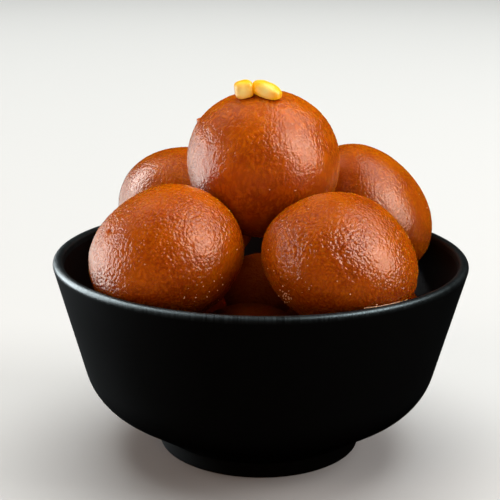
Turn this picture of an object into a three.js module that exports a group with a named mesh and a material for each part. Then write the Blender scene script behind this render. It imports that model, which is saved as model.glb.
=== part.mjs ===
// Gulab jamun: nine syrup-soaked milk dumplings heaped in a small black bowl, with two slivers of
// yellow nut on the top one. Millimetres, +Z up. The origin is under the middle of the bowl's foot.

import * as THREE from 'three';
import { mergeVertices } from 'three/addons/utils/BufferGeometryUtils.js';

// ---------------------------------------------------------------- driving dimensions

const degrees = THREE.MathUtils.degToRad;

const BOWL = {
  mouth: 115, // widest diameter, at the lip
  lipHeight: 53.9, // height of the middle of the rounded lip
  wall: 2.8, // thickness of wall and lip
  lean: degrees(15), // of the wall, away from upright
  rise: degrees(33), // of the underside, from the foot to the shoulder
  shoulder: 17.5, // outer radius of the bend between underside and wall
  foot: 57.2, // outer diameter of the foot ring
  footHeight: 4.5,
  footRing: 4.5, // width of the foot ring
  recess: 2.5, // depth of the hollow inside the foot ring
  floor: 6, // height of the flat floor inside
  floorBend: 20, // radius of the bend from the floor to the slope
  edge: 0.8, // rounding of the foot ring's edges
  sides: 48, // facets round the bowl
};

// Each dumpling: where its middle is, how wide and high it is, how far its long axis tips down
// towards +X, and the shallow lobes that make it uneven: [how many, how high, the angle of one].
const JAMUNS = [
  {
    name: 'jamun_lower_front', middle: [-3, -28, 30], width: 40, height: 37, tip: 0,
    lobes: [[3, 0.006, 40], [4, 0.005, 10]],
  },
  {
    name: 'jamun_lower_back', middle: [2, 24.5, 28.5], width: 41, height: 38, tip: 2,
    lobes: [[3, 0.005, 95], [4, 0.006, 30]],
  },
  {
    name: 'jamun_lower_left', middle: [-29, 1.5, 34], width: 40, height: 38.5, tip: -4,
    lobes: [[3, 0.007, 15], [4, 0.004, 70]],
  },
  {
    name: 'jamun_lower_right', middle: [27, -4, 33], width: 40.5, height: 38.5, tip: 3,
    lobes: [[3, 0.006, 65], [4, 0.005, 25]],
  },
  {
    name: 'jamun_front_left', middle: [-24.5, -26, 61.5], width: 41, height: 35, tip: -26,
    lobes: [[3, 0.006, -23], [4, 0.012, -6]],
  },
  {
    name: 'jamun_front_right', middle: [20, -30, 61.5], width: 40.5, height: 34, tip: 20,
    lobes: [[3, 0.015, -50], [4, 0.012, -14]],
  },
  {
    name: 'jamun_back_left', middle: [-21.5, 28.5, 61], width: 42.5, height: 36.5, tip: 13,
    lobes: [[3, 0.005, 57], [4, 0.003, -43]],
  },
  {
    name: 'jamun_back_right', middle: [31.5, 18, 63.5], width: 42.5, height: 32, tip: 48,
    lobes: [[3, 0.008, -13], [4, 0.003, -1]],
  },
  {
    name: 'jamun_top', middle: [0.5, -1.5, 81], width: 42, height: 40.5, tip: 2,
    lobes: [[3, 0.008, 23], [4, 0.006, -29]],
  },
];
const DEPTH_SHARE = 0.75; // a dumpling's depth lies this far from its height towards its width
const JAMUN_FACETS = { lower: 4, upper: 5 }; // splits of each icosahedron edge

// The two nut slivers lie on the top dumpling. A squareness of 2 is an ellipsoid, more is blockier.
const NUTS = [
  { name: 'nut_block', middle: [-4.9, -6.6, 101.7], size: [4.4, 4.4, 4.2], squareness: 5, turn: [4, -8, 8] },
  { name: 'nut_sliver', middle: [1.1, -7.6, 101.6], size: [8.0, 4.3, 3.8], squareness: 3, turn: [14, 15, -28] },
];
const NUT_FACETS = 3;
const CARRIER = 'jamun_top';

const GAP = 0.3; // left between pieces that rest on each other
const NEAR = 4; // surfaces closer than this are pressed flat towards each other

const SKIN = { color: 0xa8500f, roughness: 0.38, metalness: 0 };
const BLACK_MELAMINE = { color: 0x0c0c0d, roughness: 0.45, metalness: 0 };
const YELLOW_NUT = { color: 0xf2b632, roughness: 0.5, metalness: 0 };

// ---------------------------------------------------------------- the bowl's section

const CHORD_ERROR = 0.1; // how far a facet of a bend may lie from the true arc
const bowlRadius = BOWL.mouth / 2;
const footRadius = BOWL.foot / 2;
const lipRadius = BOWL.wall / 2;
const lipMiddle = new THREE.Vector2(bowlRadius - lipRadius, BOWL.lipHeight);

// A line of the section: a point on it, and its outward normal.
const wallNormal = new THREE.Vector2(Math.cos(BOWL.lean), -Math.sin(BOWL.lean));
const slopeNormal = new THREE.Vector2(Math.sin(BOWL.rise), -Math.cos(BOWL.rise));
const outerWall = { point: lipMiddle.clone().addScaledVector(wallNormal, lipRadius), normal: wallNormal };
const innerWall = { point: lipMiddle.clone().addScaledVector(wallNormal, -lipRadius), normal: wallNormal };
const outerSlope = { point: new THREE.Vector2(footRadius, BOWL.footHeight), normal: slopeNormal };
const innerSlope = { point: outerSlope.point.clone().addScaledVector(slopeNormal, -BOWL.wall), normal: slopeNormal };
const innerFloor = { point: new THREE.Vector2(0, BOWL.floor), normal: new THREE.Vector2(0, -1) };

function crossing(a, b) {
  const cross = a.normal.x * b.normal.y - a.normal.y * b.normal.x;
  const along = a.normal.dot(a.point);
  const across = b.normal.dot(b.point);
  return new THREE.Vector2(
    (along * b.normal.y - across * a.normal.y) / cross,
    (across * a.normal.x - along * b.normal.x) / cross,
  );
}

function arc(middle, radius, from, to) {
  const facetTurn = 2 * Math.acos(1 - CHORD_ERROR / radius);
  const steps = Math.ceil(Math.abs(to - from) / facetTurn);
  return Array.from({ length: steps + 1 }, (_, i) => {
    const angle = from + ((to - from) * i) / steps;
    return new THREE.Vector2(middle.x + radius * Math.cos(angle), middle.y + radius * Math.sin(angle));
  });
}

// The corner between two neighbours on a path, rounded to a radius.
function bend(before, corner, after, radius) {
  const inward = before.clone().sub(corner).normalize();
  const onward = after.clone().sub(corner).normalize();
  const half = Math.acos(inward.dot(onward)) / 2;
  const bisector = inward.clone().add(onward).normalize();
  const middle = corner.clone().addScaledVector(bisector, radius / Math.sin(half));
  const start = corner.clone().addScaledVector(inward, radius / Math.tan(half)).sub(middle).angle();
  const turn = corner.clone().addScaledVector(onward, radius / Math.tan(half)).sub(middle).angle() - start;
  return arc(middle, radius, start, start + Math.atan2(Math.sin(turn), Math.cos(turn)));
}

function roundedPath(first, corners, last) {
  const stops = [first, ...corners.map((corner) => corner.at), last];
  return corners.flatMap(({ at, radius }, i) => bend(stops[i], at, stops[i + 2], radius));
}

function bowlSection() {
  const ringInside = footRadius - BOWL.footRing;
  const under = new THREE.Vector2(0, BOWL.recess);
  const floor = new THREE.Vector2(0, BOWL.floor);
  const outside = roundedPath(under, [
    { at: new THREE.Vector2(ringInside, BOWL.recess), radius: BOWL.edge },
    { at: new THREE.Vector2(ringInside, 0), radius: BOWL.edge },
    { at: new THREE.Vector2(footRadius, 0), radius: BOWL.edge },
    { at: outerSlope.point, radius: BOWL.edge },
    { at: crossing(outerSlope, outerWall), radius: BOWL.shoulder },
  ], outerWall.point);
  const lip = arc(lipMiddle, lipRadius, -BOWL.lean, Math.PI - BOWL.lean);
  const inside = roundedPath(innerWall.point, [
    { at: crossing(innerWall, innerSlope), radius: BOWL.shoulder - BOWL.wall },
    { at: crossing(innerSlope, innerFloor), radius: BOWL.floorBend },
  ], floor);
  return [under, ...outside, ...lip, ...inside, floor];
}

function makeBowl() {
  const bowl = new THREE.Mesh(
    new THREE.LatheGeometry(bowlSection(), BOWL.sides),
    new THREE.MeshStandardMaterial(BLACK_MELAMINE),
  );
  bowl.name = 'bowl';
  bowl.rotation.x = Math.PI / 2; // the lathe's axis, Y, stands up as Z
  return bowl;
}

// ---------------------------------------------------------------- dumplings

function unitBall(facets) {
  const ball = new THREE.IcosahedronGeometry(1, facets);
  ball.deleteAttribute('normal');
  ball.deleteAttribute('uv');
  return mergeVertices(ball);
}

function eachVertex(geometry, move) {
  const places = geometry.getAttribute('position');
  const vertex = new THREE.Vector3();
  for (let i = 0; i < places.count; i += 1) {
    move(vertex.fromBufferAttribute(places, i));
    places.setXYZ(i, vertex.x, vertex.y, vertex.z);
  }
}

// How far a dumpling's surface is from its middle, in one direction.
function reach(jamun, direction) {
  const half = new THREE.Vector3(
    jamun.width / 2,
    THREE.MathUtils.lerp(jamun.height, jamun.width, DEPTH_SHARE) / 2,
    jamun.height / 2,
  );
  const own = direction.clone().applyAxisAngle(new THREE.Vector3(0, 1, 0), -degrees(jamun.tip));
  const upright = Math.hypot(direction.x, direction.z);
  const angle = Math.atan2(direction.z, direction.x);
  const swell = jamun.lobes.reduce(
    (sum, [count, rise, at]) => sum + rise * upright ** count * Math.cos(count * (angle - degrees(at))),
    1,
  );
  return swell / own.divide(half).length();
}

const middleOf = (piece) => new THREE.Vector3(...piece.middle);

// Soft dumplings flatten where they meet: each keeps to its own side of a plane between the two.
function contactPlanes(jamun) {
  return JAMUNS.filter((other) => other !== jamun).flatMap((other) => {
    const between = middleOf(other).sub(middleOf(jamun));
    const towards = between.clone().normalize();
    const own = reach(jamun, towards);
    const space = between.length() - own - reach(other, towards.clone().negate());
    return space < NEAR ? [{ towards, limit: own + (space - GAP) / 2 }] : [];
  });
}

// Keeps a point at least the gap away from the bowl's wall, slope and lip.
function keepInBowl(point) {
  const section = new THREE.Vector2(Math.hypot(point.x, point.y), point.z);
  const outward = new THREE.Vector2(point.x, point.y).normalize();
  for (const side of [innerWall, innerSlope]) {
    const over = section.clone().sub(side.point).dot(side.normal) + GAP;
    if (over > 0 && section.y < BOWL.lipHeight) section.addScaledVector(side.normal, -over);
  }
  const fromLip = section.clone().sub(lipMiddle);
  if (fromLip.length() < lipRadius + GAP) section.copy(lipMiddle).add(fromLip.setLength(lipRadius + GAP));
  point.set(outward.x * section.x, outward.y * section.x, section.y);
}

function makeJamun(jamun) {
  const middle = middleOf(jamun);
  const planes = contactPlanes(jamun);
  const facets = jamun.name.startsWith('jamun_lower') ? JAMUN_FACETS.lower : JAMUN_FACETS.upper;
  const geometry = unitBall(facets);
  eachVertex(geometry, (vertex) => {
    vertex.multiplyScalar(reach(jamun, vertex.clone().normalize()));
    for (const { towards, limit } of planes) {
      const over = vertex.dot(towards) - limit;
      if (over > 0) vertex.addScaledVector(towards, -over);
    }
    vertex.add(middle);
    keepInBowl(vertex);
    vertex.sub(middle);
  });
  const mesh = new THREE.Mesh(geometry, new THREE.MeshStandardMaterial(SKIN));
  mesh.name = jamun.name;
  mesh.position.copy(middle);
  return mesh;
}

// ---------------------------------------------------------------- nuts

// A block or sliver with rounded edges, whose underside follows the dumpling that carries it.
function makeNut(nut) {
  const carrier = JAMUNS.find((jamun) => jamun.name === CARRIER);
  const mesh = new THREE.Mesh(unitBall(NUT_FACETS), new THREE.MeshStandardMaterial(YELLOW_NUT));
  mesh.name = nut.name;
  mesh.position.set(...nut.middle);
  mesh.rotation.set(...nut.turn.map(degrees));
  mesh.updateMatrix();
  const back = mesh.matrix.clone().invert();
  eachVertex(mesh.geometry, (vertex) => {
    const power = nut.squareness;
    const roundness = Math.abs(vertex.x) ** power + Math.abs(vertex.y) ** power + Math.abs(vertex.z) ** power;
    vertex.multiplyScalar(roundness ** (-1 / power) / 2).multiply(new THREE.Vector3(...nut.size));
    vertex.applyMatrix4(mesh.matrix).sub(middleOf(carrier));
    const lowest = reach(carrier, vertex.clone().normalize()) + GAP;
    if (vertex.length() < lowest) vertex.setLength(lowest);
    vertex.add(middleOf(carrier)).applyMatrix4(back);
  });
  return mesh;
}

// ---------------------------------------------------------------- assembly

const heap = new THREE.Group();
heap.add(...JAMUNS.map(makeJamun), ...NUTS.map(makeNut));

const servedBowl = new THREE.Group();
servedBowl.add(makeBowl(), heap);

export default servedBowl;
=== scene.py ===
# %% [markdown]
# # Gulab jamun in a black bowl
#
# Gulab jamun are balls of milk dough, fried until they are brown and then soaked in sugar syrup. The syrup
# makes the fried skin swell, wrinkle and shine. Nine of them are heaped in a small black bowl, and two chips
# of yellow nut lie on the top one.
#
# The CAD model gives each piece its place and size. This lesson gives each piece its real surface.

# %% The tools, and the CAD model as a fixed frame
import math
import random

import bmesh
import bpy
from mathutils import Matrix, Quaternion, Vector
from mathutils.bvhtree import BVHTree


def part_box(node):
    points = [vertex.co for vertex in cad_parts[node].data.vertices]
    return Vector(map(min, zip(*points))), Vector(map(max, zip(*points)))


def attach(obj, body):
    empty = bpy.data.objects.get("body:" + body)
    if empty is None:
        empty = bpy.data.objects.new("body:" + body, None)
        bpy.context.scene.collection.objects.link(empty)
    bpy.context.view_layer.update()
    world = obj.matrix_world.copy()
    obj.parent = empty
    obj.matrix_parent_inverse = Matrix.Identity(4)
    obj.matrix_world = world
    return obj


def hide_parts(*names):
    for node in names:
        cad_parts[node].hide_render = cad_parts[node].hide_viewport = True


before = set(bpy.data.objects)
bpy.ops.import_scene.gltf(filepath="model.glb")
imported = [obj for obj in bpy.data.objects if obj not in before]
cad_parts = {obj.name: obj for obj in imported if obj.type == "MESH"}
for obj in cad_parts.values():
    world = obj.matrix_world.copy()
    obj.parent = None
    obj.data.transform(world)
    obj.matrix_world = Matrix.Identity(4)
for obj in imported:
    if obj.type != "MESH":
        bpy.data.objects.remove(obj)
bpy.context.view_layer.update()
MM = 0.001
print("nodes:", sorted(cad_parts))

# %% [markdown]
# ## Small helpers
#
# Colours are written as sRGB hex values, as a paint chip gives them, and Blender wants them linear, so one
# function turns them. Every node in this lesson, in a material or in a Geometry Nodes tree, is added by one
# other function. It sets the node's own settings, and then feeds each input with a value or another node.

# %% Colour and node helpers
MIX_A, MIX_B, MIX_OUT = 6, 7, 2  # the colour sockets of a Mix node, whose names serve other types too


def linear(hex_colour):
    channels = [int(hex_colour[i : i + 2], 16) / 255 for i in (1, 3, 5)]
    return (*[c / 12.92 if c <= 0.04045 else ((c + 0.055) / 1.055) ** 2.4 for c in channels], 1.0)


def add(tree, kind, inputs=(), **settings):
    """Adds a node. A node given as an input's value means its first output."""
    node = tree.nodes.new(kind)
    for name, value in settings.items():
        setattr(node, name, value)
    for socket, value in dict(inputs).items():
        if isinstance(value, bpy.types.Node):
            value = value.outputs[0]
        if isinstance(value, bpy.types.NodeSocket):
            tree.links.new(value, node.inputs[socket])
        else:
            node.inputs[socket].default_value = value
    return node


# %% Material helpers
def new_look(name):
    """A material with an empty tree, and the object's own coordinates to read its textures at."""
    material = bpy.data.materials.new(name)
    material.use_nodes = True
    material.node_tree.nodes.clear()
    return material, material.node_tree, add(material.node_tree, "ShaderNodeTexCoord").outputs["Object"]


def finish_look(material, sockets):
    """Ends a material's tree in one shader, which the sockets feed."""
    look = material.node_tree
    shader = add(look, "ShaderNodeBsdfPrincipled", sockets)
    add(look, "ShaderNodeOutputMaterial", {"Surface": shader})
    print("finish", material.name, "made with", len(look.nodes), "nodes")


def variant(material, name, changes):
    """A copy of a material with some of its shader's constants changed."""
    copy = material.copy()
    copy.name = name
    for socket, value in changes.items():
        copy.node_tree.nodes["Principled BSDF"].inputs[socket].default_value = value
    return copy


# %% [markdown]
# ## The camera
#
# The camera stands a little above the rim, as somebody sitting at the table would see the bowl. It is made
# first, because a few marks on the skins are placed by where they are seen, and the ray that finds them
# starts at the camera.

# %% Camera
EYE = Vector((-2.976, -324.03, 145.52)) * MM
AIM = Vector((-2.976, 0, 55.92)) * MM
ROLL = math.radians(0.42)
LENS_MM = 86.56
PICTURE = 500  # pixels on each side

camera_data = bpy.data.cameras.new("camera")
camera_data.lens = LENS_MM
camera = bpy.data.objects.new("camera", camera_data)
camera.rotation_mode = "QUATERNION"
camera.location = EYE
camera.rotation_quaternion = (AIM - EYE).to_track_quat("-Z", "Y") @ Quaternion((0, 0, 1), ROLL)
bpy.context.scene.collection.objects.link(camera)
bpy.context.scene.camera = camera
print("camera", round((AIM - EYE).length / MM), "mm from its aim")


def faces_of(mesh):
    return BVHTree.FromPolygons([v.co for v in mesh.vertices], [p.vertices for p in mesh.polygons])


def middle_of(node):
    low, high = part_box(node)
    return (Vector(low) + Vector(high)) / 2


def seen_at(pixel, node, faces=None):
    """The point of a node seen at a pixel, counted from the top left corner, or the nearest point."""
    half = PICTURE / 2
    reach = LENS_MM / camera_data.sensor_width * PICTURE
    ray = camera.rotation_quaternion @ Vector((pixel[0] - half, half - pixel[1], -reach))
    ray.normalize()
    faces = faces or faces_of(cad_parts[node].data)
    beside = EYE + ray * (middle_of(node) - EYE).dot(ray)
    return faces.ray_cast(EYE, ray)[0] or faces.find_nearest(beside)[0]


# %% [markdown]
# ## From a tree to a plain mesh
#
# A Geometry Nodes tree is a recipe with named inputs. A piece starts from a plain mesh, wears one or more
# recipes as modifiers, and is then turned into the mesh that they make. A modifier's input is set by its
# socket's identifier, before the piece is looked at for the first time.

# %% New trees
def new_tree(name, **inputs):
    """A tree with a mesh in and out and one input for each word, whose default value gives its kind."""
    kinds = {float: "NodeSocketFloat", int: "NodeSocketInt", tuple: "NodeSocketVector"}
    tree = bpy.data.node_groups.new(name, "GeometryNodeTree")
    tree.interface.new_socket("Mesh", in_out="INPUT", socket_type="NodeSocketGeometry")
    tree.interface.new_socket("Mesh", in_out="OUTPUT", socket_type="NodeSocketGeometry")
    for word, default in inputs.items():
        socket = tree.interface.new_socket(word, in_out="INPUT", socket_type=kinds[type(default)])
        socket.default_value = default
    tree.interface.new_socket("material", in_out="INPUT", socket_type="NodeSocketMaterial")
    return tree, add(tree, "NodeGroupInput").outputs


def finish_tree(tree, group, mesh):
    """Ends a tree in Realize Instances and Set Material, with smooth shading."""
    real = add(tree, "GeometryNodeRealizeInstances", {"Geometry": mesh})
    smooth = add(tree, "GeometryNodeSetShadeSmooth", {"Geometry": real})
    painted = add(tree, "GeometryNodeSetMaterial", {"Geometry": smooth, "Material": group["material"]})
    add(tree, "NodeGroupOutput", {"Mesh": painted})
    print("tree", tree.name, "made with", len(tree.nodes), "nodes")


# %% Pieces, and copies of the CAD forms
def wear(piece, tree, **values):
    modifier = piece.modifiers.new(tree.name, "NODES")
    modifier.node_group = tree
    inputs = [item for item in tree.interface.items_tree if item.in_out == "INPUT"]
    identifiers = {item.name: item.identifier for item in inputs}
    for word, value in values.items():
        modifier[identifiers[word]] = value


def new_piece(name, mesh):
    piece = bpy.data.objects.new(name, mesh)
    bpy.context.scene.collection.objects.link(piece)
    return piece


def make_plain(piece):
    """Swaps a piece's mesh for the one that its modifiers make, and takes the modifiers off."""
    depsgraph = bpy.context.evaluated_depsgraph_get()
    made = bpy.data.meshes.new_from_object(
        piece.evaluated_get(depsgraph), preserve_all_data_layers=True, depsgraph=depsgraph
    )
    made.name = piece.name
    piece.data = made
    piece.modifiers.clear()
    triangles = sum(len(p.vertices) - 2 for p in made.polygons)
    print(piece.name, triangles, "triangles")


WELD = 0.001 * MM  # points nearer than this are one point


def form_of(node):
    """A copy of a CAD node's mesh with its loose triangles joined."""
    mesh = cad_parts[node].data.copy()
    mesh.materials.clear()
    work = bmesh.new()
    work.from_mesh(mesh)
    bmesh.ops.remove_doubles(work, verts=work.verts, dist=WELD)
    work.to_mesh(mesh)
    work.free()
    return mesh


# %% [markdown]
# ## The fried skin, as a recipe
#
# When a dumpling comes out of the hot fat its skin is tight. In the syrup it soaks and cools, and the skin
# shrinks back in a net of fine creases a millimetre or so apart, over slow dents as wide as a fingertip.
# Both can be seen in the shine of the syrup, so they are real shape here, not only shading.
#
# They could be sculpted by hand or drawn with a displacement picture. A tree is better: nine dumplings
# follow one rule, each with its own seed, and the sizes stay in real units. The tree starts from a cube with
# a fine grid on its faces, blown up to a ball, because such a ball has even faces and no poles. Rays from
# the middle carry its points onto the CAD form, a blur takes the CAD form's facets away, and noise raises
# the skin. Three attributes tell the material where shade is painted (soak), where the skin is
# creased (crease) and where it is grainy (grain).

# %% The inputs of the fried skin's tree
skin_tree, given = new_tree(
    "fried_skin",
    middle=(0.0, 0.0, 0.0),
    grid=65,  # points along an edge of the cube
    softening=3,  # rounds of subdivision of the CAD form
    evening=12,  # rounds of blur
    swell=0.15 * MM,
    dent_width=8.0 * MM,
    dent_depth=0.3 * MM,
    wrinkle_width=0.9 * MM,
    wrinkle_depth=0.04 * MM,
    wrinkle_stretch=(1.0, 1.0, 0.65),
    pebble_width=0.9 * MM,
    pebble_depth=0.22 * MM,
    fineness=1.0,
    smooth_place=(0.0, 0.0, 1.0),  # far off, so that a skin has none unless it asks for one
    smooth_width=1.0 * MM,
    # how much shade is painted on the top and on the underside, from 0 to 1
    soak_above=0.0,
    soak_below=0.4,
    seed=0.0,
)

# %% Skin: a ball with even faces
cube = add(
    skin_tree,
    "GeometryNodeMeshCube",
    {
        "Size": (2, 2, 2),
        "Vertices X": given["grid"],
        "Vertices Y": given["grid"],
        "Vertices Z": given["grid"],
    },
)
place = add(skin_tree, "GeometryNodeInputPosition")
# The tangent spreads the points evenly over the ball.
eighth = add(skin_tree, "ShaderNodeVectorMath", {0: place, "Scale": math.pi / 4}, operation="SCALE")
even = add(skin_tree, "ShaderNodeVectorMath", {0: eighth}, operation="TANGENT")
direction = add(skin_tree, "ShaderNodeVectorMath", {0: even}, operation="NORMALIZE")
ball = add(skin_tree, "GeometryNodeSetPosition", {"Geometry": cube, "Position": direction})

# %% Skin: painted shade, darker towards the underside
# Each dumpling is painted darker towards its underside. This is painted shade, where less light reaches.
# The heights are those on a ball of radius 1.
apart = add(skin_tree, "ShaderNodeSeparateXYZ", {"Vector": place})
under = add(
    skin_tree,
    "ShaderNodeMapRange",
    {
        "Value": apart.outputs["Z"],
        "From Min": 0.15,
        "From Max": -0.45,
        "To Min": given["soak_above"],
        "To Max": given["soak_below"],
    },
    interpolation_type="SMOOTHSTEP",
)
painted_shade_stored = add(
    skin_tree,
    "GeometryNodeStoreNamedAttribute",
    {"Geometry": ball, "Name": "soak", "Value": under},
    data_type="FLOAT",
    domain="POINT",
)

# %% Skin: the form of the dumpling
RAY_LENGTH = 100 * MM

softened = add(
    skin_tree, "GeometryNodeSubdivisionSurface", {"Mesh": given["Mesh"], "Level": given["softening"]}
)
ray = add(
    skin_tree,
    "GeometryNodeRaycast",
    {
        "Target Geometry": softened,
        "Source Position": given["middle"],
        "Ray Direction": place,
        "Ray Length": RAY_LENGTH,
    },
)
radius = add(
    skin_tree,
    "GeometryNodeBlurAttribute",
    {0: ray.outputs["Hit Distance"], "Iterations": given["evening"]},
)
swollen = add(skin_tree, "ShaderNodeMath", {0: radius, 1: given["swell"]}, operation="ADD")
spoke = add(skin_tree, "ShaderNodeVectorMath", {0: place, "Scale": swollen}, operation="SCALE")
settled = add(skin_tree, "ShaderNodeVectorMath", {0: spoke, 1: given["middle"]})
form = add(skin_tree, "GeometryNodeSetPosition", {"Geometry": painted_shade_stored, "Position": settled})

# %% Skin: slow dents
per_dent = add(skin_tree, "ShaderNodeMath", {0: 1.0, 1: given["dent_width"]}, operation="DIVIDE")
dents = add(
    skin_tree,
    "ShaderNodeTexNoise",
    {"Vector": place, "W": given["seed"], "Scale": per_dent, "Detail": 1.0},
    noise_dimensions="4D",
)
dent_rise = add(skin_tree, "ShaderNodeMath", {0: dents, 1: 0.5}, operation="SUBTRACT")
dent_height = add(
    skin_tree, "ShaderNodeMath", {0: dent_rise, 1: given["dent_depth"]}, operation="MULTIPLY"
)

# %% Skin: wrinkles
WANDER = 4 * MM  # how far apart the places of the wrinkles can be pushed
FOLD_EDGE = 0.13  # how far from the middle of the noise a fold is fully plump

# The wrinkles wander: the place they are read at is pushed about by a slower noise, 4 mm wide.
drift = add(
    skin_tree,
    "ShaderNodeTexNoise",
    {"Vector": place, "W": given["seed"], "Scale": 0.25 / MM, "Detail": 1.0},
    noise_dimensions="4D",
)
centred = add(
    skin_tree,
    "ShaderNodeVectorMath",
    {0: drift.outputs["Color"], 1: (0.5, 0.5, 0.5)},
    operation="SUBTRACT",
)
pushed = add(skin_tree, "ShaderNodeVectorMath", {0: centred, "Scale": WANDER}, operation="SCALE")
wandering = add(skin_tree, "ShaderNodeVectorMath", {0: pushed, 1: place})
stretched = add(
    skin_tree, "ShaderNodeVectorMath", {0: wandering, 1: given["wrinkle_stretch"]}, operation="MULTIPLY"
)
per_wrinkle = add(skin_tree, "ShaderNodeMath", {0: 1.0, 1: given["wrinkle_width"]}, operation="DIVIDE")
folds = add(
    skin_tree,
    "ShaderNodeTexNoise",
    {"Vector": stretched, "W": given["seed"], "Scale": per_wrinkle, "Detail": 2.0, "Roughness": 0.55},
    noise_dimensions="4D",
)
off_crease = add(skin_tree, "ShaderNodeMath", {0: folds, 1: 0.5}, operation="SUBTRACT")
from_crease = add(skin_tree, "ShaderNodeMath", {0: off_crease}, operation="ABSOLUTE")
plump = add(
    skin_tree,
    "ShaderNodeMapRange",
    {"Value": from_crease, "From Min": 0.0, "From Max": FOLD_EDGE},
    interpolation_type="SMOOTHSTEP",
)

# %% Skin: tight parts and slack parts, about 11 mm wide
TIGHTEST = 0.7  # share of the relief left where a skin is tight
SLACKEST = 1.15
SMOOTHED = 0.4  # share left in the middle of a smooth place

slack = add(
    skin_tree,
    "ShaderNodeTexNoise",
    {"Vector": place, "W": given["seed"], "Scale": 0.09 / MM, "Detail": 1.0},
    noise_dimensions="4D",
)
slackness = add(
    skin_tree,
    "ShaderNodeMapRange",
    {"Value": slack, "From Min": 0.35, "From Max": 0.6, "To Min": TIGHTEST, "To Max": SLACKEST},
    interpolation_type="SMOOTHSTEP",
)
from_smooth = add(
    skin_tree, "ShaderNodeVectorMath", {0: place, 1: given["smooth_place"]}, operation="DISTANCE"
)
unsmoothed = add(
    skin_tree,
    "ShaderNodeMapRange",
    {
        "Value": from_smooth.outputs["Value"],
        "From Min": 0.0,
        "From Max": given["smooth_width"],
        "To Min": SMOOTHED,
    },
    interpolation_type="SMOOTHSTEP",
)
amount = add(skin_tree, "ShaderNodeMath", {0: slackness, 1: unsmoothed}, operation="MULTIPLY")
fold_rise = add(skin_tree, "ShaderNodeMath", {0: plump, 1: 1.0}, operation="SUBTRACT")
fold_part = add(skin_tree, "ShaderNodeMath", {0: fold_rise, 1: amount}, operation="MULTIPLY")
fold_height = add(
    skin_tree, "ShaderNodeMath", {0: fold_part, 1: given["wrinkle_depth"]}, operation="MULTIPLY"
)

# %% Skin: pebbles
# Between the wrinkles the skin is pebbled: small domes with thin creases between them. The square makes
# their tops round.
per_pebble = add(skin_tree, "ShaderNodeMath", {0: 1.0, 1: given["pebble_width"]}, operation="DIVIDE")
pebbles = add(
    skin_tree,
    "ShaderNodeTexVoronoi",
    {"Vector": stretched, "W": given["seed"], "Scale": per_pebble, "Smoothness": 0.15},
    voronoi_dimensions="4D",
    feature="SMOOTH_F1",
)
pebble_fall = add(skin_tree, "ShaderNodeMath", {0: pebbles, 1: 2.0}, operation="POWER")
pebble_part = add(skin_tree, "ShaderNodeMath", {0: pebble_fall, 1: amount}, operation="MULTIPLY")
pebble_height = add(
    skin_tree, "ShaderNodeMath", {0: pebble_part, 1: given["pebble_depth"]}, operation="MULTIPLY"
)

# %% Skin: all of it raised, and noted for the finish
small = add(skin_tree, "ShaderNodeMath", {0: fold_height, 1: pebble_height}, operation="SUBTRACT")
height = add(skin_tree, "ShaderNodeMath", {0: small, 1: dent_height}, operation="ADD")
upright = add(skin_tree, "GeometryNodeInputNormal")
raised = add(skin_tree, "ShaderNodeVectorMath", {0: upright, "Scale": height}, operation="SCALE")
grain_amount = add(skin_tree, "ShaderNodeMath", {0: amount, 1: given["fineness"]}, operation="MULTIPLY")
noted = form
for name, value in {"crease": fold_part, "grain": grain_amount}.items():
    noted = add(
        skin_tree,
        "GeometryNodeStoreNamedAttribute",
        {"Geometry": noted, "Name": name, "Value": value},
        data_type="FLOAT",
        domain="POINT",
    )
skin = add(skin_tree, "GeometryNodeSetPosition", {"Geometry": noted, "Offset": raised})
finish_tree(skin_tree, given, skin)

# %% [markdown]
# ## Marks on the skin
#
# A few dumplings carry a mark of their own: a wart where a bubble of dough burst, a pit, a crease where the
# ball was rolled shut. Each is a small rise or dip along a line from one point to another. Where the rings
# input is small, the rise runs in rings round the line, like the swirl that the palm leaves on the dough.
#
# Marks could be sculpted too, but then they are lost when a skin is made anew. A second recipe, worn over
# the first, keeps them: a mark is one row of a table.

# %% The tree of one mark
NEVER_ZERO = 1e-12  # keeps the division safe where a mark is one point

mark_tree, given = new_tree(
    "skin_mark",
    start=(0.0, 0.0, 0.0),
    end=(0.0, 0.0, 0.0),
    width=1.0 * MM,
    rise=0.0,
    rings=1.0,
)
place = add(mark_tree, "GeometryNodeInputPosition")
line = add(mark_tree, "ShaderNodeVectorMath", {0: given["end"], 1: given["start"]}, operation="SUBTRACT")
from_start = add(mark_tree, "ShaderNodeVectorMath", {0: place, 1: given["start"]}, operation="SUBTRACT")
along = add(mark_tree, "ShaderNodeVectorMath", {0: from_start, 1: line}, operation="DOT_PRODUCT")
whole = add(mark_tree, "ShaderNodeVectorMath", {0: line, 1: line}, operation="DOT_PRODUCT")
some = add(mark_tree, "ShaderNodeMath", {0: whole.outputs["Value"], 1: NEVER_ZERO}, operation="ADD")
share = add(
    mark_tree, "ShaderNodeMath", {0: along.outputs["Value"], 1: some}, operation="DIVIDE", use_clamp=True
)
foot = add(mark_tree, "ShaderNodeVectorMath", {0: line, "Scale": share}, operation="SCALE")
away = add(mark_tree, "ShaderNodeVectorMath", {0: from_start, 1: foot}, operation="DISTANCE")
fade = add(
    mark_tree,
    "ShaderNodeMapRange",
    {"Value": away.outputs["Value"], "From Max": given["width"], "To Min": 1.0, "To Max": 0.0},
    interpolation_type="SMOOTHSTEP",
)
turns = add(
    mark_tree, "ShaderNodeMath", {0: away.outputs["Value"], 1: given["rings"]}, operation="DIVIDE"
)
angle = add(mark_tree, "ShaderNodeMath", {0: turns, 1: 2 * math.pi}, operation="MULTIPLY")
wave = add(mark_tree, "ShaderNodeMath", {0: angle}, operation="COSINE")
waved = add(mark_tree, "ShaderNodeMath", {0: wave, 1: fade}, operation="MULTIPLY")
height = add(mark_tree, "ShaderNodeMath", {0: waved, 1: given["rise"]}, operation="MULTIPLY")
upright = add(mark_tree, "GeometryNodeInputNormal")
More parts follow.
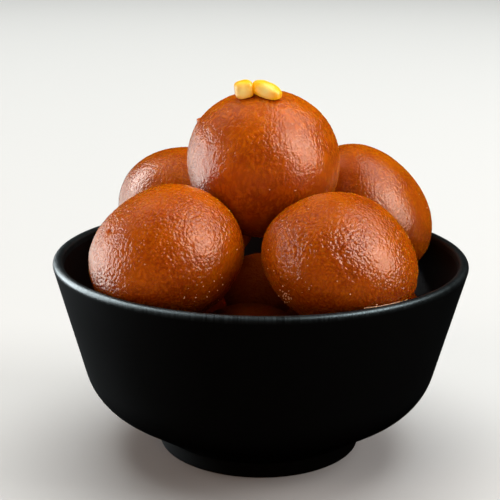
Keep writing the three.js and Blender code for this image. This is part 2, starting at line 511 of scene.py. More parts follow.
raised = add(mark_tree, "ShaderNodeVectorMath", {0: upright, "Scale": height}, operation="SCALE")
marked = add(mark_tree, "GeometryNodeSetPosition", {"Geometry": given["Mesh"], "Offset": raised})
finish_tree(mark_tree, given, marked)

# %% [markdown]
# ## The finish of the dumplings
#
# The skin is milk sugar and flour, browned in fat: a warm orange brown, painted darker in the creases,
# between the domes of its grain and towards the underside as painted shade, and a little see-through, so
# light spreads up to a few millimetres under it, red light the furthest. Over it lies the syrup, a clear
# sticky coat. It gives the eye broad, soft, pale highlights that the wrinkles and the grain break up.
#
# A picture of a skin could be wrapped round each ball, but it would stretch and repeat. Noise read in
# millimetres, steered by the attributes that the recipe left on the mesh, fits every dumpling.

# %% Syrup-soaked fried milk dough: browning in blotches about 9 mm wide
jamun_skin, look, spot = new_look("syrup_soaked_fried_dough")
blotches = add(look, "ShaderNodeTexNoise", {"Vector": spot, "Scale": 0.11 / MM, "Detail": 3.0})
browning = add(look, "ShaderNodeMapRange", {"Value": blotches, "From Min": 0.35, "From Max": 0.65})
crust = add(
    look,
    "ShaderNodeMix",
    {"Factor": browning, MIX_A: linear("#C46200"), MIX_B: linear("#B05200")},
    data_type="RGBA",
)

# %% Fried dough: the finest grain
# Domes about 0.7 mm wide are finer than the mesh and are drawn as bump. A ripple about 1 mm wide pushes them
# about by up to 0.6 mm, so that they are not too even.
ripple = add(look, "ShaderNodeTexNoise", {"Vector": spot, "Scale": 0.9 / MM, "Detail": 1.0})
ripples = add(
    look, "ShaderNodeVectorMath", {0: ripple.outputs["Color"], "Scale": 0.6 * MM}, operation="SCALE"
)
grain_spot = add(look, "ShaderNodeVectorMath", {0: ripples, 1: spot})
domes = add(
    look,
    "ShaderNodeTexVoronoi",
    {"Vector": grain_spot, "Scale": 1.5 / MM, "Smoothness": 0.25},
    feature="SMOOTH_F1",
)
fine_grain = add(look, "ShaderNodeMath", {0: 1.0, 1: domes}, operation="SUBTRACT")
grain = add(look, "ShaderNodeAttribute", attribute_name="grain")

# %% Fried dough: painted shade in the creases and between the domes
# Painted shade: the skin is painted darker in its creases.
CREASE_PAINTED_SHADE = -0.55  # the crease attribute runs from 0 on a plump fold down to about -1

crease = add(look, "ShaderNodeAttribute", attribute_name="crease")
crease_shade = add(
    look, "ShaderNodeMath", {0: crease.outputs["Fac"], 1: CREASE_PAINTED_SHADE}, operation="MULTIPLY"
)
# Shade is painted between the domes too, where the skin is grainy.
dome_shade = add(
    look, "ShaderNodeMapRange", {"Value": domes, "From Min": 0.15, "From Max": 0.6, "To Max": 0.32}
)
grain_shade = add(look, "ShaderNodeMath", {0: dome_shade, 1: grain.outputs["Fac"]}, operation="MULTIPLY")
painted_shade_amount = add(look, "ShaderNodeMath", {0: crease_shade, 1: grain_shade}, operation="ADD")
crease_shaded = add(
    look,
    "ShaderNodeMix",
    {"Factor": painted_shade_amount, MIX_A: crust.outputs[MIX_OUT], MIX_B: linear("#8A3602")},
    data_type="RGBA",
)
# Painted shade: darker towards the underside, set for each dumpling by the soak inputs.
soak = add(look, "ShaderNodeAttribute", attribute_name="soak")
colour = add(
    look,
    "ShaderNodeMix",
    {"Factor": soak.outputs["Fac"], MIX_A: crease_shaded.outputs[MIX_OUT], MIX_B: linear("#400C00")},
    data_type="RGBA",
)

# %% Fried dough: the skin, and the syrup as its coat
GRAIN_DEPTH = 0.6 * MM  # height of the drawn domes

grain_height = add(
    look, "ShaderNodeMath", {0: fine_grain, 1: grain.outputs["Fac"]}, operation="MULTIPLY"
)
bump = add(look, "ShaderNodeBump", {"Height": grain_height, "Strength": 0.3, "Distance": GRAIN_DEPTH})
syrup_bump = add(
    look, "ShaderNodeBump", {"Height": grain_height, "Strength": 0.36, "Distance": GRAIN_DEPTH}
)
finish_look(
    jamun_skin,
    {
        "Base Color": colour.outputs[MIX_OUT],
        "Roughness": 0.5,
        "IOR": 1.45,
        "Specular IOR Level": 0.0,
        "Subsurface Weight": 0.5,
        "Subsurface Radius": (1.0, 0.3, 0.06),
        "Subsurface Scale": 4.0 * MM,
        "Coat Weight": 1.0,
        "Coat Roughness": 0.18,
        "Coat IOR": 1.47,
        "Normal": bump,
        "Coat Normal": syrup_bump,
    },
)

# %% Drained and soaked crusts
# The dumplings on top and behind have drained for longer, so their film of syrup is thinner and duller.
drained_skin = variant(jamun_skin, "drained_crust", {"Coat Roughness": 0.23})
# The ones below have drunk the most syrup and lie in shade. Little of their film shows.
soaked_skin = variant(drained_skin, "soaked_crust", {"Coat Weight": 0.3})
print("three crusts:", jamun_skin.name, drained_skin.name, soaked_skin.name)

# %% [markdown]
# ## The nine dumplings
#
# Each dumpling copies its CAD form and wears the fried skin with its own seed. One finished ball could be
# copied and turned nine times, but no two balls of dough swell alike, so each is made for itself. The five
# that show all round get a finer grid than the four under them.

# %% How the skins differ
BACK_SKIN = {"pebble_depth": 0.07 * MM, "wrinkle_depth": 0.04 * MM, "fineness": 0.35}
# The soak inputs set how much shade is painted on each skin: the most on the lower dumplings.
LOWER_SKIN = {"soak_above": 0.88, "soak_below": 1.0}
SKINS = {
    "jamun_top": {
        "wrinkle_width": 1.4 * MM,
        "wrinkle_depth": 0.08 * MM,
        "wrinkle_stretch": (1.0, 1.0, 0.45),
        "pebble_width": 1.4 * MM,
        "pebble_depth": 0.09 * MM,
        "fineness": 0.5,
    },
    "jamun_front_left": {"soak_above": 0.05},
    "jamun_front_right": {
        "smooth_place": seen_at((383, 258), "jamun_front_right"),
        "smooth_width": 6.5 * MM,
        "soak_above": 0.12,
    },
    "jamun_back_left": {**BACK_SKIN, "soak_above": 0.25},
    "jamun_back_right": {**BACK_SKIN, "soak_above": 0.2},
    "jamun_lower_left": {"soak_above": 1.0, "soak_below": 1.0},
}
jamun_names = sorted(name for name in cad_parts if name.startswith("jamun"))
print(len(jamun_names), "dumplings,", len(SKINS), "with settings of their own")

# %% Dumplings
SEEN_GRID = 129  # points along each edge of the cube: 196,608 triangles
HIDDEN_GRID = 73  # 62,208 triangles
FIRST_SEED, SEED_STEP = 1.3, 3.7  # so far apart in the noise that no two skins are alike

finishes = dict.fromkeys(jamun_names, drained_skin)
for name in jamun_names:
    if name.startswith("jamun_front"):
        finishes[name] = jamun_skin
    if name.startswith("jamun_lower"):
        finishes[name] = soaked_skin
jamuns = {}
for number, name in enumerate(jamun_names):
    piece = new_piece(name + "_skin", form_of(name))
    wear(
        piece,
        skin_tree,
        middle=middle_of(name),
        grid=HIDDEN_GRID if "lower" in name else SEEN_GRID,
        seed=SEED_STEP * number + FIRST_SEED,
        material=finishes[name],
        **SKINS.get(name, LOWER_SKIN if "lower" in name else {}),
    )
    jamuns[name] = piece
    print(name, "wears", finishes[name].name)

# %% [markdown]
# The marks come next. Each is placed by the pixel where it is seen, on the dumpling that carries it.

# %% Marks
NO_RINGS = 1000
MARKS = [
    # dumpling, first and last pixel, and in millimetres the width, the rise and the step between rings
    ("jamun_top", (197, 119), (197, 119), 1.1, 0.7, NO_RINGS),
    ("jamun_front_left", (110, 231), (110, 231), 1.2, -0.65, NO_RINGS),
    ("jamun_front_left", (215, 225), (215, 225), 6.0, 0.06, 2.0),
    ("jamun_front_right", (338, 252), (354, 280), 1.0, -0.22, NO_RINGS),
]
for name, start, end, width_mm, rise_mm, rings_mm in MARKS:
    wear(
        jamuns[name],
        mark_tree,
        start=seen_at(start, name),
        end=seen_at(end, name),
        width=width_mm * MM,
        rise=rise_mm * MM,
        rings=rings_mm * MM,
        material=finishes[name],
    )
print(len(MARKS), "marks")

# %% Plain meshes, each in its CAD node's place
for name, piece in jamuns.items():
    make_plain(piece)
    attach(piece, "root")
    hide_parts(name)

# %% [markdown]
# ## The bowl
#
# The bowl is pressed from melamine, a hard plastic, in a heated steel mould. Every section through its axis
# is the same, so it is one outline turned round that axis. The outline's sizes are the CAD model's own. A
# Screw modifier could turn it, but a tree also closes the seam and both poles.

# %% The bowl's sizes, in millimetres
MOUTH = 115.0  # widest diameter, at the lip
LIP_HEIGHT = 53.9  # height of the middle of the rounded lip
WALL = 2.8
LEAN = math.radians(15)  # of the wall, away from upright
RISE = math.radians(33)  # of the underside, from the foot to the shoulder
SHOULDER = 17.5  # outer radius of the rounded shoulder
FOOT = 57.2  # outer diameter of the foot ring
FOOT_HEIGHT = 4.5
FOOT_RING = 4.5  # its width
RECESS = 2.5  # depth of the hollow in the ring
FLOOR = 6.0  # height of the floor inside
FLOOR_BEND = 20.0  # rounding from the floor to the slope
EDGE = 0.8  # rounding of the foot ring's edges

# %% Lines that meet, and corners that are rounded
ARC_STEP = math.radians(6)  # between the points of a rounding
LINE_STEP = 1.2  # at most, between the points of a straight part


def crossing(point_a, normal_a, point_b, normal_b):
    """Where two lines meet. Each is a point on it and its normal."""
    cross = normal_a.x * normal_b.y - normal_a.y * normal_b.x
    a = normal_a.dot(point_a)
    b = normal_b.dot(point_b)
    return Vector(((a * normal_b.y - b * normal_a.y) / cross, (b * normal_a.x - a * normal_b.x) / cross))


def rounded(corners):
    """The path through corners, each a point and the radius that rounds it. The two ends have none."""
    path = [corners[0][0]]
    for (before, _), (corner, radius), (after, _) in zip(corners, corners[1:], corners[2:]):
        inward = (before - corner).normalized()
        onward = (after - corner).normalized()
        half = inward.angle(onward) / 2
        middle = corner + (inward + onward).normalized() * (radius / math.sin(half))
        start = corner + inward * (radius / math.tan(half)) - middle
        turn = math.copysign(math.pi - 2 * half, inward.y * onward.x - inward.x * onward.y)
        steps = math.ceil(abs(turn) / ARC_STEP)
        for i in range(steps + 1):
            c, s = math.cos(turn * i / steps), math.sin(turn * i / steps)
            path.append(middle + Vector((start.x * c - start.y * s, start.x * s + start.y * c)))
    path.append(corners[-1][0])
    fine = [path[0]]
    for a, b in zip(path, path[1:]):
        parts = max(1, math.ceil((b - a).length / LINE_STEP))
        fine += [a.lerp(b, i / parts) for i in range(1, parts + 1)]
    return fine


# %% The bowl's outline
wall_out = Vector((math.cos(LEAN), -math.sin(LEAN)))
wall_up = Vector((math.sin(LEAN), math.cos(LEAN)))
slope_out = Vector((math.sin(RISE), -math.cos(RISE)))
lip = Vector((MOUTH / 2 - WALL / 2, LIP_HEIGHT))
outer_lip = lip + (wall_out + wall_up) * (WALL / 2)
inner_lip = lip + (wall_up - wall_out) * (WALL / 2)
foot_top = Vector((FOOT / 2, FOOT_HEIGHT))
inner_slope = foot_top - slope_out * WALL
ring_inside = FOOT / 2 - FOOT_RING
FULL_ROUND = WALL / 2 * 0.999  # a hair less than half the wall, so that two roundings never meet
outline = rounded(
    [
        (Vector((0, RECESS)), 0),
        (Vector((ring_inside, RECESS)), EDGE),
        (Vector((ring_inside, 0)), EDGE),
        (Vector((FOOT / 2, 0)), EDGE),
        (foot_top, EDGE),
        (crossing(foot_top, slope_out, outer_lip, wall_out), SHOULDER),
        (outer_lip, FULL_ROUND),
        (inner_lip, FULL_ROUND),
        (crossing(inner_slope, slope_out, inner_lip, wall_out), SHOULDER - WALL),
        (crossing(inner_slope, slope_out, Vector((0, FLOOR)), Vector((0, 1))), FLOOR_BEND),
        (Vector((0, FLOOR)), 0),
    ]
)
print("bowl outline:", len(outline), "points, highest", round(max(p.y for p in outline), 2), "mm")

# %% The tree that turns an outline
SIDES = 240  # round the axis
SEAM = 0.01 * MM  # the last column falls on the first, and the ends of the outline on the axis

turned_tree, given = new_tree("turned", sides=SIDES)
size = add(turned_tree, "GeometryNodeAttributeDomainSize", {"Geometry": given["Mesh"]})
columns = add(turned_tree, "ShaderNodeMath", {0: given["sides"], 1: 1.0}, operation="ADD")
sheet = add(turned_tree, "GeometryNodeMeshGrid", {"Vertices X": columns, "Vertices Y": size})
number = add(turned_tree, "GeometryNodeInputIndex")
divided = add(turned_tree, "ShaderNodeMath", {0: number, 1: size}, operation="DIVIDE")
column = add(turned_tree, "ShaderNodeMath", {0: divided}, operation="FLOOR")
row = add(turned_tree, "ShaderNodeMath", {0: number, 1: size}, operation="MODULO")
place = add(turned_tree, "GeometryNodeInputPosition")
taken = add(
    turned_tree,
    "GeometryNodeSampleIndex",
    {"Geometry": given["Mesh"], "Value": place, "Index": row},
    data_type="FLOAT_VECTOR",
    domain="POINT",
)
part = add(turned_tree, "ShaderNodeMath", {0: column, 1: given["sides"]}, operation="DIVIDE")
angle = add(turned_tree, "ShaderNodeMath", {0: part, 1: 2 * math.pi}, operation="MULTIPLY")
turned = add(
    turned_tree,
    "ShaderNodeVectorRotate",
    {"Vector": taken, "Angle": angle},
    rotation_type="Z_AXIS",
)
wrapped = add(turned_tree, "GeometryNodeSetPosition", {"Geometry": sheet, "Position": turned})
closed = add(turned_tree, "GeometryNodeMergeByDistance", {"Geometry": wrapped, "Distance": SEAM})
finish_tree(turned_tree, given, closed)

# %% [markdown]
# ## The finish of the bowl
#
# Black melamine takes the fine matt grain of its mould. It looks nearly black, with a faint satin sheen,
# and only the rounded lip catches the light. The lip is trimmed after pressing, which leaves fine short
# strokes across it. Inside, the black is tinted brown, a painted reflection of the dumplings. One black
# could serve for all three, but the eye tells them apart by how they shine.

# %% Matt black melamine
# The mould's real grain is finer. It is drawn 0.4 mm wide, as coarse as it needs to be to show. Patches
# about 17 mm wide, rubbed by hands and cloths, are a little less matt.
black_melamine, look, spot = new_look("matt_black_melamine")
mould_grain = add(look, "ShaderNodeTexNoise", {"Vector": spot, "Scale": 2.6 / MM, "Detail": 2.0})
bump = add(look, "ShaderNodeBump", {"Height": mould_grain, "Strength": 0.3, "Distance": 0.03 * MM})
rubbed = add(look, "ShaderNodeTexNoise", {"Vector": spot, "Scale": 0.06 / MM, "Detail": 3.0})
dull = add(look, "ShaderNodeMapRange", {"Value": rubbed, "To Min": 0.38, "To Max": 0.5})
finish_look(
    black_melamine,
    {
        "Base Color": linear("#050505"),
        "Roughness": dull,
        "IOR": 1.5,
        "Specular IOR Level": 0.12,
        "Normal": bump,
    },
)

# %% Melamine inside, tinted brown as a painted reflection
# Inside, a brown tint warms the black. It is a painted reflection of the dumplings' warm glow. It shines
# less.
painted_reflection_melamine = variant(
    black_melamine, "painted_reflection_inside_melamine", {"Base Color": linear("#0E0300"), "Specular IOR Level": 0.05}
)
print("finish", painted_reflection_melamine.name, "copied from", black_melamine.name)

# %% Trimmed satin melamine, for the lip
satin_melamine, look, spot = new_look("trimmed_satin_melamine")
apart = add(look, "ShaderNodeSeparateXYZ", {"Vector": spot})
flat = add(look, "ShaderNodeCombineXYZ", {"X": apart.outputs["X"], "Y": apart.outputs["Y"], "Z": 0.0})
round_place = add(look, "ShaderNodeVectorMath", {0: flat}, operation="NORMALIZE")
# On a rim of 57 mm radius this draws strokes about 0.4 mm wide.
strokes = add(look, "ShaderNodeTexNoise", {"Vector": round_place, "Scale": 160.0, "Detail": 2.0})
bump = add(look, "ShaderNodeBump", {"Height": strokes, "Strength": 0.4, "Distance": 0.1 * MM})
satin = add(
    look,
    "ShaderNodeMapRange",
    {"Value": strokes, "From Min": 0.4, "From Max": 0.6, "To Min": 0.3, "To Max": 0.5},
)
sharp_strokes = add(look, "ShaderNodeMapRange", {"Value": strokes, "From Min": 0.4, "From Max": 0.65})
scratched = add(
    look,
    "ShaderNodeMix",
    {"Factor": sharp_strokes, MIX_A: linear("#040404"), MIX_B: linear("#0D0E0F")},
    data_type="RGBA",
)
finish_look(
    satin_melamine,
    {
        "Base Color": scratched.outputs[MIX_OUT],
        "Roughness": satin,
        "IOR": 1.5,
        "Specular IOR Level": 0.14,
        "Specular Tint": linear("#E2F6F8"),
        "Normal": bump,
    },
)

# %% Bowl
CUBIC_CM = 1e6  # in a cubic metre

outline_mesh = bpy.data.meshes.new("bowl_outline")
outline_mesh.from_pydata(
    [(p.x * MM, 0, p.y * MM) for p in outline], [(i, i + 1) for i in range(len(outline) - 1)], []
)
bowl = new_piece("black_bowl", outline_mesh)
wear(bowl, turned_tree, sides=SIDES, material=black_melamine)
make_plain(bowl)
work = bmesh.new()
work.from_mesh(bowl.data)
# The faces have to look out of the wall, not into it.
if work.calc_volume(signed=True) < 0:
    bmesh.ops.reverse_faces(work, faces=work.faces)
print("bowl volume", round(work.calc_volume() * CUBIC_CM, 1), "cubic centimetres")
work.to_mesh(bowl.data)
work.free()

# %% The bowl's lip and inside
INSIDE_ABOVE = 3.0  # a height between the recess under the bowl and the floor in it
LIP_ABOVE = LIP_HEIGHT - 0.2  # a little below the middle of the rounded lip

slots = bowl.data.materials
slots.append(satin_melamine)
slots.append(painted_reflection_melamine)
lip_faces = [face for face in bowl.data.polygons if face.center.z > LIP_ABOVE * MM]
for face in lip_faces:
    face.material_index = slots.find(satin_melamine.name)
# The wall leans out, so between the foot and the lip only faces of the inside look up.
inner_faces = [
    face
    for face in bowl.data.polygons
    if INSIDE_ABOVE * MM < face.center.z < LIP_ABOVE * MM and face.normal.z > 0
]
for face in inner_faces:
    face.material_index = slots.find(painted_reflection_melamine.name)
print("lip faces:", len(lip_faces), "and faces inside:", len(inner_faces))
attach(bowl, "root")
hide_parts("bowl")

# %% [markdown]
# ## The nut chips
#
# The garnish is chopped nut, dyed by saffron. A knife leaves faces that are nearly flat and slightly
# grained, with edges that have rubbed round. The skin's tree can make this too: it starts from the chips'
# CAD forms. Each chip is a deep saffron yellow, painted paler round one spot as a painted highlight, and
# the nut is slightly see-through.

# %% Saffron-yellow nut
# A painted highlight: each chip is painted paler round the spot seen at these pixels.
HIGHLIGHT_SPOTS = {"nut_block": (242, 92), "nut_sliver": (266, 91)}  # pixels
# The pale core is the painted highlight: full to this distance from its spot, gone by the next.
HIGHLIGHT_FULL_TO = 0.5 * MM  # from the middle of the core
HIGHLIGHT_GONE_AT = 2.8 * MM

yellow_nut, look, spot = new_look("saffron_yellow_nut")
# The flesh is grained about 1.4 mm wide.
fibre = add(look, "ShaderNodeTexNoise", {"Vector": spot, "Scale": 0.7 / MM, "Detail": 3.0})
from_highlight = [
    add(look, "ShaderNodeVectorMath", {0: spot, 1: seen_at(pixel, name)}, operation="DISTANCE")
    for name, pixel in HIGHLIGHT_SPOTS.items()
]
to_block, to_sliver = [distance.outputs["Value"] for distance in from_highlight]
nearest = add(look, "ShaderNodeMath", {0: to_block, 1: to_sliver}, operation="MINIMUM")
highlight_share = add(
    look,
    "ShaderNodeMapRange",
    {"Value": nearest, "From Min": HIGHLIGHT_FULL_TO, "From Max": HIGHLIGHT_GONE_AT, "To Min": 1.0, "To Max": 0.0},
)
colour = add(
    look,
    "ShaderNodeMix",
    {"Factor": highlight_share, MIX_A: linear("#FFC200"), MIX_B: linear("#FFE88C")},
    data_type="RGBA",
)
bump = add(look, "ShaderNodeBump", {"Height": fibre, "Strength": 0.3, "Distance": 0.1 * MM})
finish_look(
    yellow_nut,
    {
        "Base Color": colour.outputs[MIX_OUT],
        "Roughness": 0.4,
        "Subsurface Weight": 0.3,
        "Subsurface Radius": (1.0, 0.6, 0.2),
        "Subsurface Scale": 1.0 * MM,
        "Coat Weight": 0.2,
        "Coat Roughness": 0.2,
        "Normal": bump,
    },
)

# %% Nut chips
CHIP_GRID = 41
FIRST_CHIP_SEED, CHIP_SEED_STEP = 40.0, 5.1

chips = []
for number, name in enumerate(HIGHLIGHT_SPOTS):
    piece = new_piece(name + "_chip", form_of(name))
    wear(
        piece,
        skin_tree,
        middle=middle_of(name),
        grid=CHIP_GRID,
        softening=1,
        evening=2,
        swell=0.3 * MM,
        dent_width=2.0 * MM,
        dent_depth=0.35 * MM,
        wrinkle_depth=0.0,
        pebble_depth=0.0,
        seed=CHIP_SEED_STEP * number + FIRST_CHIP_SEED,
        material=yellow_nut,
    )
    make_plain(piece)
    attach(piece, "root")
    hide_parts(name)
    chips.append(piece)

# %% [markdown]
# ## Beads of syrup
#
# Where syrup dries it leaves beads as small as sugar grains, mostly low on the dumplings. They could be a
# particle system, but that is hard to place. Here a few clusters are placed by the pixel where they are
# seen, and a few more are sown all round each upper dumpling, from a fixed seed. The tree puts one small
# ball with few faces on each point.

# %% Clusters of beads
CLUSTERS = [
    # dumpling, pixel, spread in pixels, number
    ("jamun_front_right", (287, 297), 4.0, 26),
    ("jamun_front_right", (296, 284), 9.0, 12),
    ("jamun_front_right", (284, 262), 9.0, 5),
    ("jamun_front_right", (368, 300), 9.0, 5),
    ("jamun_front_right", (309, 208), 0.5, 1),
    ("jamun_front_left", (184, 297), 1.0, 3),
    ("jamun_front_left", (205, 290), 12.0, 12),
    ("jamun_front_left", (206, 196), 3.0, 2),
    ("jamun_top", (294, 190), 1.0, 2),
    ("jamun_top", (270, 190), 1.0, 1),
]
print(len(CLUSTERS), "clusters")

# %% Places of the beads
SOWN = 14  # on each upper dumpling, all round

dice = random.Random(7)
upper = [name for name in jamun_names if "lower" not in name]
skins = {name: faces_of(jamuns[name].data) for name in upper}
bead_places = []
for name, pixel, spread, number in CLUSTERS:
    for _ in range(number):
        near = (dice.gauss(pixel[0], spread), dice.gauss(pixel[1], spread))
        bead_places.append(seen_at(near, name, skins[name]))
for name in upper:
    for _ in range(SOWN):
        # More of them lie round the waist than on top, and a few more below than above.
        way = Vector((dice.gauss(0, 1), dice.gauss(0, 1), dice.gauss(-0.2, 0.6)))
        bead_places.append(skins[name].ray_cast(middle_of(name), way)[0])
print(len(bead_places), "beads of syrup")

# %% The tree that sets a bead on each point
LEAST, MOST, RANDOM_OUT = 2, 3, 1  # the float sockets of a Random Value node

bead_tree, given = new_tree("beads_of_syrup", width=0.3 * MM, seed=0)
half_width = add(bead_tree, "ShaderNodeMath", {0: given["width"], 1: 0.5}, operation="MULTIPLY")
bead = add(bead_tree, "GeometryNodeMeshIcoSphere", {"Radius": half_width, "Subdivisions": 2})
uneven = add(
    bead_tree,
    "FunctionNodeRandomValue",
    {LEAST: 0.6, MOST: 1.5, "Seed": given["seed"]},
    data_type="FLOAT",
)
beads = add(
    bead_tree,
    "GeometryNodeInstanceOnPoints",
    {"Points": given["Mesh"], "Instance": bead, "Scale": uneven.outputs[RANDOM_OUT]},
)
finish_tree(bead_tree, given, beads)

# %% Dried syrup
# Dried syrup is cloudy with sugar and has a wet shine. Its pale colour is partly that sugar and partly a
# painted glint, so the specks and the thread read bright. The clouds are about 0.7 mm wide.
dried_syrup, look, spot = new_look("dried_sugar_syrup")
cloud = add(look, "ShaderNodeTexNoise", {"Vector": spot, "Scale": 1.5 / MM, "Detail": 1.0})
colour = add(
    look,
    "ShaderNodeMix",
    {"Factor": cloud, MIX_A: linear("#C88450"), MIX_B: linear("#ECC49C")},
    data_type="RGBA",
)
finish_look(
    dried_syrup,
    {
        "Base Color": colour.outputs[MIX_OUT],
        "Roughness": 0.25,
        "IOR": 1.47,
        "Coat Weight": 0.5,
        "Coat Roughness": 0.1,
    },
)

# %% Beads
bead_points = bpy.data.meshes.new("bead_points")
bead_points.from_pydata(bead_places, [], [])
beads_piece = new_piece("syrup_beads", bead_points)
wear(beads_piece, bead_tree, width=0.3 * MM, seed=3, material=dried_syrup)
make_plain(beads_piece)
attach(beads_piece, "root")

# %% [markdown]
# ## A thread of syrup
#
# Where a front dumpling comes near the lip, syrup is caught in a thin thread, and its pale colour paints
# the bright line of a highlight along it. It is a path on the skin, swept with a small circle. A curve with
# a bevel could do this, but in a tree the circle also shrinks to nothing at both ends.

# %% The tree of a thread
THREAD_STEPS = 48
THREAD_SIDES = 10
SLIMMEST = 0.02  # share of the width left at the ends

thread_tree, given = new_tree("syrup_thread", width=0.5 * MM)
path = add(thread_tree, "GeometryNodeMeshToCurve", {"Mesh": given["Mesh"]})
smooth_path = add(thread_tree, "GeometryNodeCurveSplineType", {"Curve": path}, spline_type="CATMULL_ROM")
steps = add(thread_tree, "GeometryNodeResampleCurve", {"Curve": smooth_path, "Count": THREAD_STEPS})
along = add(thread_tree, "GeometryNodeSplineParameter")
arch = add(thread_tree, "ShaderNodeMath", {0: along.outputs["Factor"], 1: math.pi}, operation="MULTIPLY")
bulge = add(thread_tree, "ShaderNodeMath", {0: arch}, operation="SINE")
slim = add(thread_tree, "ShaderNodeMath", {0: bulge, 1: 0.5}, operation="POWER")
radius = add(thread_tree, "ShaderNodeMath", {0: slim, 1: SLIMMEST}, operation="MAXIMUM")
tapered = add(thread_tree, "GeometryNodeSetCurveRadius", {"Curve": steps, "Radius": radius})
half_width = add(thread_tree, "ShaderNodeMath", {0: given["width"], 1: 0.5}, operation="MULTIPLY")
ring = add(
    thread_tree, "GeometryNodeCurvePrimitiveCircle", {"Resolution": THREAD_SIDES, "Radius": half_width}
)
thread = add(
    thread_tree, "GeometryNodeCurveToMesh", {"Curve": tapered, "Profile Curve": ring, "Fill Caps": True}
)
finish_tree(thread_tree, given, thread)

# %% Thread
THREAD = [(364, 308.3), (375, 306.9), (386, 305.0), (397, 302.6), (407, 299.7)]  # pixels
thread_points = [seen_at(pixel, "jamun_front_right", skins["jamun_front_right"]) for pixel in THREAD]
thread_mesh = bpy.data.meshes.new("thread_path")
thread_mesh.from_pydata(thread_points, [(i, i + 1) for i in range(len(thread_points) - 1)], [])
thread_piece = new_piece("syrup_thread", thread_mesh)
wear(thread_piece, thread_tree, width=0.35 * MM, material=dried_syrup)
make_plain(thread_piece)
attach(thread_piece, "root")

# %% [markdown]
# ## Floor and light
#
# The bowl stands on a plain pale table. A pale window light from the left draws the highlight down each
# dumpling, and warmer softboxes on the right give the softer second highlight.
#
# A few lights could do all the work, but then a change to a highlight also changes the colour beside it.
# Here the lights that are seen in gloss are kept apart from the fills that light dull colour, so each can be
# set alone. Some are flagged off, as a studio hand flags a light with a card, and reach only the pieces that
# are named.

# %% Floor
# Matt paint has no shine, so the table gives the eye only a soft shadow.
PAINT = {"Base Color": linear("#BCC0C5"), "Roughness": 0.8, "Specular IOR Level": 0.0}
FLOOR_HALF = 4.0  # metres
CORNERS = ((-1, -1), (1, -1), (1, 1), (-1, 1))

table_paint = bpy.data.materials.new("pale_matt_tabletop")
table_paint.use_nodes = True
for socket, value in PAINT.items():
    table_paint.node_tree.nodes["Principled BSDF"].inputs[socket].default_value = value
floor_mesh = bpy.data.meshes.new("floor")
floor_mesh.from_pydata([(x * FLOOR_HALF, y * FLOOR_HALF, 0) for x, y in CORNERS], [], [(0, 1, 2, 3)])
floor_mesh.materials.append(table_paint)
floor = new_piece("floor", floor_mesh)
floor.visible_glossy = False
floor.visible_shadow = False
print("floor", 2 * FLOOR_HALF, "m wide")

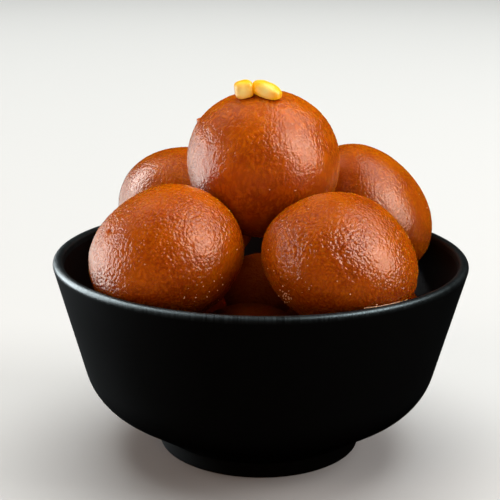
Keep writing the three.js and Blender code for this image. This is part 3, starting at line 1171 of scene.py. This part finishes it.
# %% The table of lights
LIGHTS = [
    # name, place and size in metres, watts, colour, seen in gloss, lights dull colour, what it reaches
    ("left_window", (-1.18, 0.21, 0.06), (1.12, 1.12), 22.0, "#FFFBF4", True, False, "food"),
    ("left_far_window", (-0.76, 0.91, -0.15), (0.64, 0.78), 3.2, "#FFFBF4", True, False, "food"),
    ("behind_window", (-0.75, 0.42, 0.57), (0.50, 0.50), 6.4, "#FFFBF4", True, False, "behind"),
    ("right_softbox", (0.87, -0.38, 0.42), (0.72, 0.80), 12.6, "#FFE6D0", True, False, "food"),
    ("right_high_softbox", (0.62, -0.58, 0.84), (0.66, 0.66), 6.8, "#FFE6D0", True, False, "food"),
    ("front_right_softbox", (0.41, -0.62, 0.88), (0.50, 0.50), 5.6, "#FFF0E2", True, False, "right"),
    ("front_right_glow", (-0.95, 0.50, 0.12), (1.20, 0.90), 2.7, "#FFFBF4", True, False, "right"),
    ("left_top_softbox", (-0.62, 0.46, 0.98), (0.80, 0.80), 1.3, "#FFF6EC", True, False, "food"),
    ("right_top_softbox", (0.55, 0.05, 0.95), (0.90, 0.90), 7.0, "#FFF0E2", True, False, "food"),
    ("overhead_gloss", (-0.2, 0.60, 1.60), (2.0, 2.0), 0.8, "#FFF6EC", True, False, "food"),
    ("left_rim_light", (-0.90, 0.42, 0.70), (1.00, 1.50), 135.0, "#F2FBFF", True, False, "bowl"),
    ("right_rim_light", (0.70, -0.06, 1.00), (0.60, 0.60), 60.0, "#F2FBFF", True, False, "bowl"),
    ("overhead_rim_light", (0.0, 0.15, 1.30), (0.80, 0.60), 0.2, "#F2FBFF", True, False, "bowl"),
    ("left_low_light", (-0.80, 0.48, -0.45), (0.90, 0.60), 0.06, "#F2FBFF", True, False, "bowl"),
    ("left_fill", (-1.00, -0.75, 0.80), (0.80, 0.80), 6.4, "#FFEAD8", False, True, "all"),
    ("right_fill", (1.20, -0.15, 0.70), (0.80, 0.80), 14.2, "#FFF6EC", False, True, "all"),
    ("front_fill", (0.0, -1.30, 0.25), (0.80, 0.40), 3.6, "#FFAE7C", False, True, "all"),
    ("overhead_fill", (0.0, 0.80, 2.40), (3.0, 3.0), 112.0, "#FFFCF2", False, True, "all"),
    ("floor_wash", (0.0, 0.0, 4.0), (9.0, 9.0), 75.0, "#FFF6EC", False, True, "floor"),
]
print(len(LIGHTS), "lights")

# %% What each light reaches
reach = {
    "food": [*(jamuns[name] for name in upper), *chips, beads_piece, thread_piece],
    "behind": [jamuns["jamun_back_left"]],
    "right": [jamuns["jamun_front_right"]],
    "bowl": [bowl],
    "floor": [floor],
}
reached = {}
for name, pieces in reach.items():
    reached[name] = bpy.data.collections.new(name + "_lit")
    for piece in pieces:
        reached[name].objects.link(piece)
    print(name, "lights reach", len(pieces), "pieces")

# %% Lights
SHADOWLESS = "front_right_glow"  # the other dumplings would stand in its way
HEAP = Vector((0, 0, 0.06))  # metres: every light looks at it

for name, where, size_m, watts, tint_hex, in_gloss, in_colour, reaches in LIGHTS:
    lamp = bpy.data.lights.new(name, "AREA")
    lamp.shape = "RECTANGLE"
    lamp.size, lamp.size_y = size_m
    lamp.energy = watts
    lamp.color = linear(tint_hex)[:3]
    holder = bpy.data.objects.new(name, lamp)
    holder.location = where
    holder.rotation_mode = "QUATERNION"
    holder.rotation_quaternion = (HEAP - Vector(where)).to_track_quat("-Z", "Y")
    holder.visible_glossy = in_gloss
    holder.visible_diffuse = in_colour
    holder.visible_camera = False
    lamp.use_shadow = name != SHADOWLESS
    if reaches in reached:
        holder.light_linking.receiver_collection = reached[reaches]
    bpy.context.scene.collection.objects.link(holder)

# %% The room
# A faint cool light from all round keeps the shadows from going black. It isn't seen in gloss.
world = bpy.data.worlds.new("studio")
world.use_nodes = True
bpy.context.scene.world = world
sky = world.node_tree.nodes["Background"].inputs
sky["Color"].default_value = linear("#DDE3EA")
sky["Strength"].default_value = 0.06
world.cycles_visibility.glossy = False
bpy.context.scene.view_settings.view_transform = "Standard"
